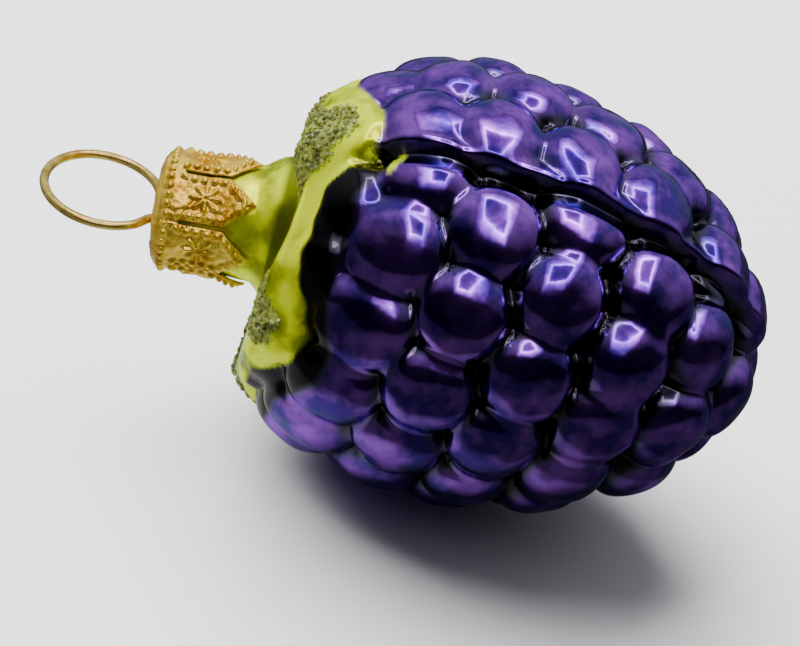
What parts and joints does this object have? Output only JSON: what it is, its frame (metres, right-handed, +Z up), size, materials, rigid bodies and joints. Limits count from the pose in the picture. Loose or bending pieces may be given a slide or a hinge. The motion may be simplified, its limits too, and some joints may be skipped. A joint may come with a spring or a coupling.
{
  "type": "blown glass berry ornament",
  "caption": "Hanging blown-glass ornament shaped like a bramble berry with a green calyx, glittered sepals, pressed metal crown cap and spring-wire loop, lying on its side.",
  "frame": {"origin": "on the table, under the middle of the ornament's box as it lies on its side", "axes": "+Z up; +X from the hanging loop towards the berry's tip; the loop's plane is nearly level"},
  "size_m": [0.0736, 0.0442, 0.044],
  "materials": {
    "lacquered_glass": "silvered inside, clear purple lacquer outside, neck and calyx painted glossy lime green",
    "glass_grains": "crushed glass glitter glued on, olive green",
    "gold_tinplate": "embossed tinplate under bright gold lacquer",
    "gold_wire": "bright spring wire, pale gold"
  },
  "bodies": {
    "root": {"glass_berry": "lacquered_glass", "sepal_grains_1": "glass_grains", "sepal_grains_2": "glass_grains", "sepal_grains_3": "glass_grains", "sepal_grains_4": "glass_grains", "sepal_grains_5": "glass_grains", "crown_cap": "gold_tinplate", "wire_hanger": "gold_wire"}
  },
  "joints": []
}
